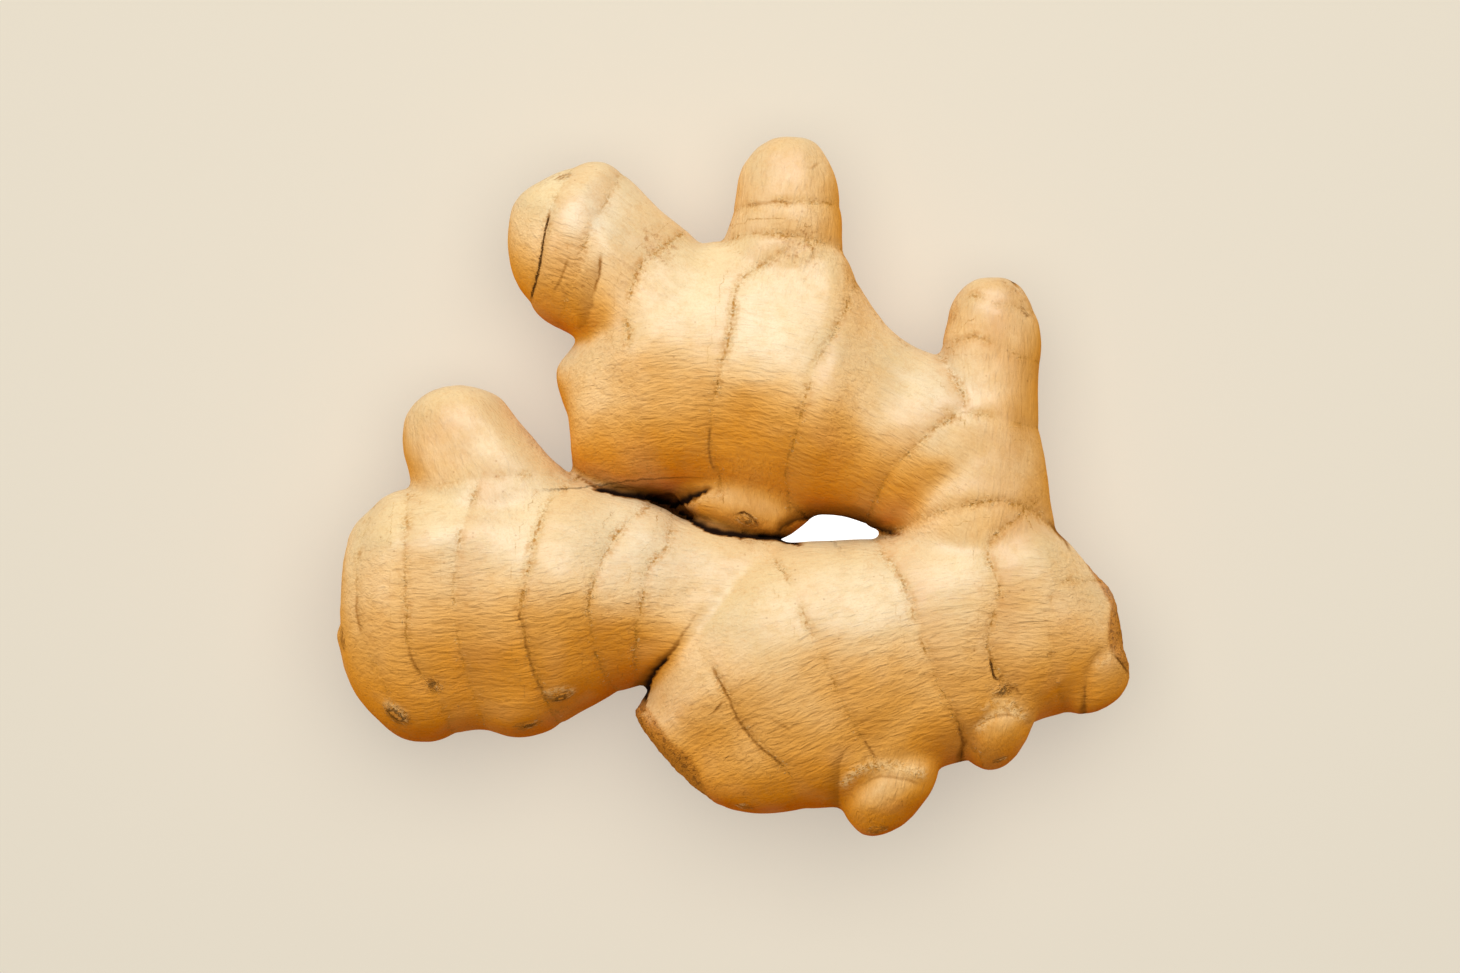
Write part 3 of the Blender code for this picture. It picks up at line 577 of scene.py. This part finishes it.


# The cleft between the upper body and the arm: deep, and painted near black at its bottom, a painted shade.
# Its line in plan, half width and the height up to which the painted shade lies are in millimetres.
CLEFT = ((-27.0, 0.2), (-22.0, -1.0), (-17.1, -2.8), (-11.2, -4.4), (-4.0, -8.0), (2.0, -9.2), (8.0, -10.0))
CLEFT_HALF_WIDTH = 2.6
CLEFT_TOP = 17.0
CLEFT_FADE = 5.0
cleft_gap = gap_to_line(points[:, :2], smooth_line(CLEFT, CURVE_STEPS))
painted_cleft_shade = hump(cleft_gap, CLEFT_HALF_WIDTH) * np.clip((CLEFT_TOP - points[:, 2]) / CLEFT_FADE, 0, 1)


# The skin in its final shape, a hair inside the solid's own box, with all that was laid out on it
# kept at its points for the finish. The sun side, which sets the painted light and shade of the
# skin's tone ramp, is eased, so that the fine relief doesn't tint it.
BOX_MARGIN = 0.02
SUN_SIDE = np.array([-0.12, 0.85, 0.50])
EASING_ROUNDS = 21

low = np.array(cad_box[0]) / MM + BOX_MARGIN
high = np.array(cad_box[1]) / MM - BOX_MARGIN
move_skin(np.clip(points, low, high))
normals = read_skin()[1]


def keep_number(name, values):
    layer = skin.data.attributes.new(name, "FLOAT", "POINT")
    layer.data.foreach_set("value", values.astype(np.float32))


def keep_vector(name, values):
    layer = skin.data.attributes.new(name, "FLOAT_VECTOR", "POINT")
    layer.data.foreach_set("vector", values.astype(np.float32).ravel())


keep_number("ring_gap", ring_gap)
keep_number("ring_near", ring_near)
keep_number("tone_step", tone_step)
keep_number("painted_crevice_shade", np.clip(painted_crevice_shade, 0, 1))
keep_number("pale_edge", np.clip(pale_edge, 0, 1))
keep_vector("eye_chart", eye_chart)
keep_number("eye_brown", np.clip(eye_brown, 0, 1))
keep_number("crack_gap", crack_gap)
keep_number("crack_near", crack_near)
keep_number("painted_fold_shade", np.clip(fold_shade, 0, 1))
keep_number("tan", np.clip(tint, 0, 1))
keep_number("painted_sheen", np.clip(-tint, 0, 1))
keep_number("painted_cleft_shade", np.clip(painted_cleft_shade, 0, 1))
keep_number("patch", np.clip(patches, 0, 1))
keep_number("break_face", break_face)
for chart in range(CHARTS):
    keep_vector("grain_%d" % (chart + 1), charts[chart])
keep_vector("grain_share", shares.T)


def eased(values):
    """Values at the skin's points, each mixed again and again with those next to it."""
    pairs = np.empty(len(skin.data.edges) * 2, dtype=np.int64)
    skin.data.edges.foreach_get("vertices", pairs)
    first, second = pairs.reshape(-1, 2).T
    count = np.bincount(pairs, minlength=len(values))
    for _ in range(EASING_ROUNDS):
        total = np.bincount(first, values[second], len(values))
        total += np.bincount(second, values[first], len(values))
        values = 0.5 * values + 0.5 * total / count
    return values


keep_number("sun_side", eased(normals @ SUN_SIDE))
keep_number("under_side", np.clip(-normals[:, 2] * 1.5 - 0.05, 0, 1))
skin.data.shade_smooth()


# The skin's finish: satin tan, with painted light and shade, cream to the sun side and deep orange away.
# Brown lies in the rings, cracks and scars, and fine specks are strewn over it.
# Each tone of the painted light and shade has the facing it is for, from -1 away from the sun side
# to 1 straight to it.
WRINKLE_STRETCH = (0.27, 1.05, 1.05)
FIBRE_STRETCH = (0.50, 2.00, 2.00)
LIT_AND_SHADED_TONES = (
    (-0.55, (0.54, 0.132, 0.001)),
    (-0.25, (0.68, 0.243, 0.008)),
    (0.06, (0.72, 0.310, 0.036)),
    (0.22, (0.71, 0.355, 0.076)),
    (0.37, (0.72, 0.412, 0.134)),
    (0.50, (0.73, 0.480, 0.215)),
    (0.75, (0.625, 0.462, 0.240)),
    (0.95, (0.695, 0.545, 0.300)),
)
UNDER_TONE = (0.62, 0.38, 0.13, 1.0)
DEEP_TAN = (0.55, 0.270, 0.070, 1.0)
SHEEN_CREAM = (0.70, 0.660, 0.520, 1.0)
RING_BROWN = (0.37, 0.165, 0.020, 1.0)
SCAR_BROWN = (0.31, 0.125, 0.020, 1.0)
PATCH_AND_SHADE_BROWN = (0.42, 0.180, 0.034, 1.0)
PALE_FLAKE_AND_HIGHLIGHT = (0.82, 0.560, 0.260, 1.0)
TORN_BROWN = (0.54, 0.215, 0.028, 1.0)
SHADE_BROWN = (0.24, 0.085, 0.008, 1.0)
CRACK_SHADE_DARK = (0.045, 0.018, 0.006, 1.0)
PAINTED_SHADE_BLACK = (0.012, 0.006, 0.004, 1.0)
EYE_STRETCH = (0.45, 1.7, 1.0)
BUMP_DEPTH = 0.50 * MM


class Nodes:
    """Places and joins shader nodes in one tree."""

    def __init__(self, tree):
        self.tree = tree

    def add(self, kind, **settings):
        node = self.tree.nodes.new(kind)
        for name, value in settings.items():
            setattr(node, name, value)
        return node

    def join(self, source, target):
        self.tree.links.new(source, target)

    def feed(self, socket, value):
        if hasattr(value, "is_linked"):
            self.join(value, socket)
        else:
            socket.default_value = value

    def math(self, operation, first, second=0.0, third=0.0, clamp=False):
        node = self.add("ShaderNodeMath", operation=operation, use_clamp=clamp)
        for socket, value in zip(node.inputs, (first, second, third)):
            self.feed(socket, value)
        return node.outputs[0]

    def spread(self, value, low, high, to_low=0.0, to_high=1.0):
        node = self.add("ShaderNodeMapRange", interpolation_type="SMOOTHSTEP")
        for socket, item in zip(node.inputs, (value, low, high, to_low, to_high)):
            self.feed(socket, item)
        return node.outputs[0]

    def spread_straight(self, value, low, high):
        node = self.add("ShaderNodeMapRange")
        for socket, item in zip(node.inputs, (value, low, high, 0.0, 1.0)):
            self.feed(socket, item)
        return node.outputs[0]

    def noise(self, place, scale, detail=2.0, roughness=0.5, distortion=0.0):
        node = self.add("ShaderNodeTexNoise")
        self.join(place, node.inputs["Vector"])
        node.inputs["Scale"].default_value = scale
        node.inputs["Detail"].default_value = detail
        node.inputs["Roughness"].default_value = roughness
        node.inputs["Distortion"].default_value = distortion
        return node.outputs["Fac"]

    def blend(self, share, first, second):
        node = self.add("ShaderNodeMix", data_type="RGBA")
        self.feed(node.inputs["Factor"], share)
        self.feed(node.inputs["A"], first)
        self.feed(node.inputs["B"], second)
        return node.outputs["Result"]

    def attribute(self, name, output="Fac"):
        node = self.add("ShaderNodeAttribute", attribute_name=name)
        return node.outputs[output]


def new_group(name, inputs, outputs):
    """A shader node group with named sockets, and its Nodes, inlet and outlet."""
    group = bpy.data.node_groups.new(name, "ShaderNodeTree")
    for label, kind in inputs:
        group.interface.new_socket(label, in_out="INPUT", socket_type=kind)
    for label, kind in outputs:
        group.interface.new_socket(label, in_out="OUTPUT", socket_type=kind)
    nodes = Nodes(group)
    return group, nodes, nodes.add("NodeGroupInput"), nodes.add("NodeGroupOutput")


def stretched(nodes, place, factors):
    node = nodes.add("ShaderNodeVectorMath", operation="MULTIPLY")
    nodes.join(place, node.inputs[0])
    node.inputs[1].default_value = factors
    return node.outputs[0]


def wrinkle_group():
    """Wavy wrinkles along a chart: their height, the thin creases between them, and finer fibres."""
    group, nodes, inlet, outlet = new_group(
        "wrinkles", [("Chart", "NodeSocketVector")],
        [("Height", "NodeSocketFloat"), ("Crease", "NodeSocketFloat"), ("Fibre", "NodeSocketFloat")])
    chart = inlet.outputs["Chart"]
    fine = nodes.noise(stretched(nodes, chart, WRINKLE_STRETCH), 1.0, 1.5, 0.5, 0.6)
    fibres = nodes.noise(stretched(nodes, chart, FIBRE_STRETCH), 1.0, 1.0, 0.5, 0.5)
    height = nodes.math("MULTIPLY", fine, 0.78)
    nodes.join(nodes.math("MULTIPLY_ADD", fibres, 0.34, height), outlet.inputs["Height"])
    nodes.join(nodes.spread(fine, 0.36, 0.50, 1.0, 0.0), outlet.inputs["Crease"])
    nodes.join(fibres, outlet.inputs["Fibre"])
    return group


def skin_material():
    material = bpy.data.materials.new("ginger_skin")
    material.use_nodes = True
    nodes = Nodes(material.node_tree)
    shader = material.node_tree.nodes["Principled BSDF"]
    spot = nodes.add("ShaderNodeTexCoord").outputs["Object"]
    in_mm = nodes.add("ShaderNodeVectorMath", operation="SCALE")
    nodes.join(spot, in_mm.inputs[0])
    in_mm.inputs["Scale"].default_value = 1.0 / MM
    spot = in_mm.outputs[0]

    wrinkles = wrinkle_group()
    share = nodes.add("ShaderNodeSeparateXYZ")
    nodes.join(nodes.attribute("grain_share", "Vector"), share.inputs[0])
    height = 0.0
    crease = 0.0
    fibre = 0.0
    for chart in range(CHARTS):
        sheet = nodes.add("ShaderNodeGroup", node_tree=wrinkles)
        nodes.join(nodes.attribute("grain_%d" % (chart + 1), "Vector"), sheet.inputs["Chart"])
        part = share.outputs[chart]
        height = nodes.math("MULTIPLY_ADD", sheet.outputs["Height"], part, height)
        crease = nodes.math("MULTIPLY_ADD", sheet.outputs["Crease"], part, crease)
        fibre = nodes.math("MULTIPLY_ADD", sheet.outputs["Fibre"], part, fibre)

    blotch = nodes.noise(spot, 0.09, 3.0, 0.55)
    cloud = nodes.noise(spot, 0.35, 3.0, 0.6)
    flake = nodes.noise(spot, 1.1, 3.0, 0.65)
    bead = nodes.noise(spot, 1.35, 2.0, 0.6)
    pores = nodes.noise(spot, 2.6, 2.0, 0.6)

    sun = nodes.math("ADD", nodes.attribute("sun_side"), nodes.math("MULTIPLY_ADD", blotch, 0.30, -0.15))
    # The tone ramp paints light and shade by facing: cream towards the sun side, deep orange away from it.
    painted_light_tones = nodes.add("ShaderNodeValToRGB")
    nodes.join(nodes.spread_straight(sun, -1.0, 1.0), painted_light_tones.inputs[0])
    for stop, (facing, tone) in enumerate(LIT_AND_SHADED_TONES):
        place = (facing + 1.0) / 2.0
        mark = painted_light_tones.color_ramp.elements[stop] if stop < 2 else painted_light_tones.color_ramp.elements.new(place)
        mark.position = place
        mark.color = (*tone, 1.0)
    # Tan tints are partly the skin's own tone and partly painted shade; the pale cream is a painted sheen.
    colour = nodes.blend(nodes.attribute("tan"), painted_light_tones.outputs[0], DEEP_TAN)
    colour = nodes.blend(nodes.attribute("painted_sheen"), colour, SHEEN_CREAM)
    colour = nodes.blend(nodes.attribute("under_side"), colour, UNDER_TONE)
    deeper = nodes.math("MULTIPLY", nodes.attribute("tone_step"), nodes.spread(cloud, 0.30, 0.62, 0.5, 1.0))
    colour = nodes.blend(nodes.math("MULTIPLY", deeper, 0.85), colour, DEEP_TAN)
    mottle = nodes.spread(nodes.noise(spot, 0.55, 4.0, 0.7), 0.50, 0.70)
    colour = nodes.blend(nodes.math("MULTIPLY", mottle, 0.22), colour, DEEP_TAN)
    # The wrinkle creases are painted darker, a painted shade, less so on the sun side.
    crease = nodes.math("MULTIPLY", crease, nodes.spread(sun, 0.25, 0.75, 1.0, 0.35))
    colour = nodes.blend(nodes.math("MULTIPLY", crease, 0.20), colour, PATCH_AND_SHADE_BROWN)
    colour = nodes.blend(nodes.math("MULTIPLY", nodes.spread(pores, 0.46, 0.66), 0.16), colour, DEEP_TAN)

    near = nodes.spread(nodes.attribute("ring_near"), 0.10, 0.80)
    jitter = nodes.math("MULTIPLY_ADD", pores, 0.9, -0.45)
    signed = nodes.math("ADD", nodes.attribute("ring_gap"), jitter)
    gap = nodes.math("ABSOLUTE", signed)
    band = nodes.math("MULTIPLY", nodes.spread(gap, 0.5, 1.7, 1.0, 0.0), near)
    speckled = nodes.math("MULTIPLY", band, nodes.spread(flake, 0.44, 0.60))
    colour = nodes.blend(nodes.math("MULTIPLY", speckled, 0.42), colour, PATCH_AND_SHADE_BROWN)
    lifted = nodes.math("MULTIPLY", band, nodes.spread(flake, 0.40, 0.32))
    colour = nodes.blend(nodes.math("MULTIPLY", lifted, 0.55), colour, PALE_FLAKE_AND_HIGHLIGHT)
    line_width = nodes.spread(bead, 0.36, 0.66, 0.16, 0.62)
    thread = nodes.math("MULTIPLY", nodes.spread(gap, 0.02, line_width, 1.0, 0.0),
                        nodes.spread(bead, 0.40, 0.62, 0.15, 1.0))
    aside = nodes.spread(nodes.math("ABSOLUTE", nodes.math("SUBTRACT", signed, 0.8)), 0.5, 1.8, 1.0, 0.0)
    ticks = nodes.math("MULTIPLY", aside, nodes.spread(fibre, 0.53, 0.66))
    scar = nodes.math("MULTIPLY", nodes.math("MAXIMUM", thread, nodes.math("MULTIPLY", ticks, 0.26)), near)
    colour = nodes.blend(nodes.math("MULTIPLY", scar, 0.80), colour, RING_BROWN)

    ragged = nodes.math("SUBTRACT", pores, 0.5)
    scaly = nodes.math("MULTIPLY_ADD", ragged, 0.9, nodes.attribute("eye_brown"))
    scaly = nodes.spread(scaly, 0.12, 0.55)
    eye_place = stretched(nodes, nodes.attribute("eye_chart", "Vector"), EYE_STRETCH)
    scales = nodes.noise(eye_place, 1.0, 2.0, 0.6, 0.8)
    eyes = nodes.math("MULTIPLY", scaly, nodes.spread(scales, 0.50, 0.60))
    colour = nodes.blend(nodes.math("MULTIPLY", scaly, 0.30), colour, PATCH_AND_SHADE_BROWN)
    colour = nodes.blend(nodes.math("MULTIPLY", eyes, 0.72), colour, SCAR_BROWN)
    papery = nodes.math("MULTIPLY", scaly, nodes.spread(scales, 0.46, 0.38))
    colour = nodes.blend(nodes.math("MULTIPLY", papery, 0.42), colour, PALE_FLAKE_AND_HIGHLIGHT)

    uneven = nodes.spread(nodes.noise(spot, 0.8, 4.0, 0.65), 0.38, 0.66)
    weathered = nodes.math("MULTIPLY", nodes.attribute("patch"), uneven)
    colour = nodes.blend(nodes.math("MULTIPLY", weathered, 0.50), colour, PATCH_AND_SHADE_BROWN)
    freckled = nodes.spread(nodes.attribute("patch"), 0.05, 0.7)
    freckle = nodes.math("MULTIPLY", freckled, nodes.spread(flake, 0.56, 0.64))
    colour = nodes.blend(nodes.math("MULTIPLY", freckle, 0.50), colour, SCAR_BROWN)
    torn = nodes.attribute("break_face")
    colour = nodes.blend(nodes.math("MULTIPLY", torn, 0.92), colour, TORN_BROWN)
    colour = nodes.blend(nodes.math("MULTIPLY", torn, nodes.spread(flake, 0.50, 0.62)), colour, SCAR_BROWN)
    # Painted shade in the folds.
    colour = nodes.blend(nodes.math("MULTIPLY", nodes.attribute("painted_fold_shade"), 0.35), colour, PATCH_AND_SHADE_BROWN)
    # The pale edges are partly papery skin and partly a painted highlight on the lit lips.
    pale = nodes.math("MULTIPLY", nodes.attribute("pale_edge"), nodes.spread(flake, 0.62, 0.46))
    colour = nodes.blend(nodes.math("MULTIPLY", pale, 0.80), colour, PALE_FLAKE_AND_HIGHLIGHT)

    specks = nodes.add("ShaderNodeTexVoronoi", feature="F1")
    nodes.join(spot, specks.inputs["Vector"])
    specks.inputs["Scale"].default_value = 0.75
    dot = nodes.spread(specks.outputs["Distance"], 0.10, 0.22, 1.0, 0.0)
    chance = nodes.add("ShaderNodeSeparateColor")
    nodes.join(specks.outputs["Color"], chance.inputs[0])
    picked = nodes.spread(chance.outputs[0], 0.90, 0.97)
    dots = nodes.math("MULTIPLY", dot, picked)
    colour = nodes.blend(nodes.math("MULTIPLY", dots, 0.45), colour, SCAR_BROWN)

    split_gap = nodes.math("MULTIPLY_ADD", jitter, 0.6, nodes.attribute("crack_gap"))
    split_gap = nodes.math("ABSOLUTE", split_gap)
    gaping = nodes.attribute("crack_near")
    edge = nodes.spread(split_gap, 0.05, 0.50, 1.0, 0.0)
    edge = nodes.math("MULTIPLY", edge, nodes.spread(gaping, 0.05, 0.50))
    colour = nodes.blend(nodes.math("MULTIPLY", edge, 0.70), colour, SCAR_BROWN)
    # Where a crack gapes, a painted shade makes its inside near black.
    split = nodes.spread(split_gap, 0.03, 0.26, 1.0, 0.0)
    split = nodes.math("MULTIPLY", split, nodes.spread(gaping, 0.35, 0.90))
    split = nodes.math("MULTIPLY", split, nodes.spread(bead, 0.30, 0.50, 0.3, 1.0))
    colour = nodes.blend(nodes.math("MULTIPLY", split, 0.90), colour, CRACK_SHADE_DARK)

    # Painted shade: the crevices and the cleft are darkened to brown, then to near black.
    shade = nodes.math("MAXIMUM", nodes.attribute("painted_crevice_shade"), nodes.attribute("painted_cleft_shade"))
    colour = nodes.blend(nodes.math("MULTIPLY", nodes.spread(shade, 0.05, 0.60), 0.85), colour, SHADE_BROWN)
    colour = nodes.blend(nodes.spread(shade, 0.55, 0.95), colour, PAINTED_SHADE_BLACK)
    nodes.join(colour, shader.inputs["Base Color"])

    rough = nodes.math("MULTIPLY_ADD", cloud, 0.16, 0.42)
    worn = nodes.math("MULTIPLY", nodes.math("ADD", weathered, scar), 0.12)
    rough = nodes.math("ADD", rough, worn, clamp=True)
    rough = nodes.math("ADD", rough, nodes.math("MULTIPLY", shade, 0.4), clamp=True)
    nodes.join(rough, shader.inputs["Roughness"])

    dull = nodes.math("MAXIMUM", nodes.math("MAXIMUM", band, scaly), weathered)
    dull = nodes.math("MAXIMUM", dull, shade)
    dull = nodes.math("MAXIMUM", dull, nodes.math("MULTIPLY", crease, 0.5))
    sheen = nodes.spread(nodes.attribute("sun_side"), 0.10, 0.75)
    sheen = nodes.math("MULTIPLY", sheen, nodes.spread(cloud, 0.30, 0.60, 0.55, 1.0))
    sheen = nodes.math("MULTIPLY", sheen, nodes.math("MULTIPLY_ADD", dull, -0.75, 1.0), clamp=True)
    covered = nodes.math("MULTIPLY_ADD", shade, 1.6, nodes.math("MAXIMUM", scar, edge))
    bare = nodes.math("SUBTRACT", 1.0, covered, clamp=True)
    sheen = nodes.math("MULTIPLY", sheen, bare)
    nodes.join(sheen, shader.inputs["Coat Weight"])

    fibrous = nodes.math("MULTIPLY", torn, pores)
    for relief, amount in ((pores, 0.12), (scar, -0.18), (lifted, 0.30), (papery, 0.30), (pale, 0.30),
                           (eyes, -0.25), (split, -0.60), (weathered, -0.20), (fibrous, 0.80)):
        height = nodes.math("MULTIPLY_ADD", relief, amount, height)
    bump = nodes.add("ShaderNodeBump")
    bump.inputs["Strength"].default_value = 1.0
    bump.inputs["Distance"].default_value = BUMP_DEPTH
    nodes.join(height, bump.inputs["Height"])
    nodes.join(bump.outputs[0], shader.inputs["Normal"])

    shader.inputs["Specular IOR Level"].default_value = 0.0
    shader.inputs["Coat Roughness"].default_value = 0.46
    shader.inputs["Coat IOR"].default_value = 1.78
    return material


skin.data.materials.clear()
skin.data.materials.append(skin_material())
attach(skin, "root")
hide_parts("ginger_root")


# The studio: a softly glowing pale sheet under the root, one big soft lamp from the upper side,
# dimmer ones round it, and one straight overhead for the sheet alone, whose shadow is short and soft.
# The sheet glows pure white, a painted patch of light, where the camera sees it through the gap.
# Sizes are in metres, and lamp rows give name, place, width, height, power and colour.
FLOOR_SIZE = 4.0
FLOOR_DROP = 0.05 * MM
FLOOR_COLOUR = (0.60, 0.50, 0.36, 1.0)
FLOOR_GLOW = (0.341, 0.350, 0.331, 1.0)
GAP_GLOW = (1.3, 1.3, 1.3, 1.0)
GAP_MIDDLE = (18.5 * MM, -8.5 * MM)
GAP_REACH = (17.0 * MM, 6.0 * MM)
SKY_COLOUR = (1.0, 0.92, 0.78, 1.0)
SKY_STRENGTH = 0.20
LAMPS = (
    ("key_lamp", (0.0, 0.505, 0.50), 0.80, 0.45, 5.7, (1.0, 0.99, 0.98)),
    ("left_lamp", (-0.56, 0.05, 0.40), 0.40, 0.40, 1.95, (1.0, 0.92, 0.76)),
    ("right_lamp", (0.56, 0.05, 0.40), 0.40, 0.40, 1.05, (1.0, 0.92, 0.78)),
    ("low_lamp", (0.0, -0.56, 0.40), 0.50, 0.40, 0.7, (1.0, 0.72, 0.42)),
)
SHEET_LAMP = (0.0, 0.12, 0.60)
SHEET_LAMP_SIZE = 0.75
SHEET_LAMP_POWER = 3.3
WHITE = (1.0, 1.0, 1.0)
EYE_HEIGHT = 0.90
PHOTO_WIDTH = 1460
PIXEL = 0.19 * MM
SENSOR = 36.0
OUTLINE_HEIGHT = 17 * MM

bm = bmesh.new()
bmesh.ops.create_grid(bm, x_segments=1, y_segments=1, size=FLOOR_SIZE / 2)
bmesh.ops.translate(bm, verts=bm.verts, vec=(0, 0, -FLOOR_DROP))
floor_mesh = bpy.data.meshes.new("floor")
bm.to_mesh(floor_mesh)
bm.free()
floor = bpy.data.objects.new("floor", floor_mesh)
bpy.context.scene.collection.objects.link(floor)
sheet_finish = bpy.data.materials.new("pale_sheet")
sheet_finish.use_nodes = True
sheet_shader = sheet_finish.node_tree.nodes["Principled BSDF"]
sheet_shader.inputs["Base Color"].default_value = FLOOR_COLOUR
sheet_shader.inputs["Roughness"].default_value = 0.9
sheet_shader.inputs["Specular IOR Level"].default_value = 0.0
sheet = Nodes(sheet_finish.node_tree)
apart = sheet.add("ShaderNodeSeparateXYZ")
sheet.join(sheet.add("ShaderNodeTexCoord").outputs["Object"], apart.inputs[0])
aside = sheet.math("DIVIDE", sheet.math("SUBTRACT", apart.outputs[0], GAP_MIDDLE[0]), GAP_REACH[0])
above = sheet.math("DIVIDE", sheet.math("SUBTRACT", apart.outputs[1], GAP_MIDDLE[1]), GAP_REACH[1])
away = sheet.math("ADD", sheet.math("MULTIPLY", aside, aside), sheet.math("MULTIPLY", above, above))
# Where the camera looks through the gap, the sheet glows white, a painted patch of light.
seen = sheet.add("ShaderNodeLightPath").outputs["Is Camera Ray"]
in_gap = sheet.math("MULTIPLY", sheet.spread(away, 0.6, 1.0, 1.0, 0.0), seen)
glow = sheet.blend(in_gap, FLOOR_GLOW, GAP_GLOW)
sheet.join(glow, sheet_shader.inputs["Emission Color"])
sheet_shader.inputs["Emission Strength"].default_value = 1.0
floor.data.materials.append(sheet_finish)

sky = bpy.data.worlds.new("pale_sky")
sky.use_nodes = True
sky.node_tree.nodes["Background"].inputs["Color"].default_value = SKY_COLOUR
sky.node_tree.nodes["Background"].inputs["Strength"].default_value = SKY_STRENGTH
bpy.context.scene.world = sky


def hang_lamp(name, place, width, height, power, colour, lit):
    """A soft lamp at a place, turned to the root, that lights one piece alone."""
    lamp_data = bpy.data.lights.new(name, "AREA")
    lamp_data.shape = "RECTANGLE"
    lamp_data.size = width
    lamp_data.size_y = height
    lamp_data.energy = power
    lamp_data.color = colour
    lamp = bpy.data.objects.new(name, lamp_data)
    lamp.location = place
    lamp.rotation_euler = Vector(place).to_track_quat("Z", "Y").to_euler()
    bpy.context.scene.collection.objects.link(lamp)
    lit_pieces = bpy.data.collections.new(name + "_lights")
    lit_pieces.objects.link(lit)
    lamp.light_linking.receiver_collection = lit_pieces


for name, place, width, height, power, colour in LAMPS:
    hang_lamp(name, place, width, height, power, colour, skin)
hang_lamp("sheet_lamp", SHEET_LAMP, SHEET_LAMP_SIZE, SHEET_LAMP_SIZE, SHEET_LAMP_POWER, WHITE, floor)

camera_data = bpy.data.cameras.new("camera")
camera_data.sensor_width = SENSOR
camera_data.lens = SENSOR * (EYE_HEIGHT - OUTLINE_HEIGHT) / (PHOTO_WIDTH * PIXEL)
camera = bpy.data.objects.new("camera", camera_data)
camera.location = (-PIXEL, 0.0, EYE_HEIGHT)
bpy.context.scene.collection.objects.link(camera)
bpy.context.scene.camera = camera
bpy.context.scene.view_settings.view_transform = "Standard"
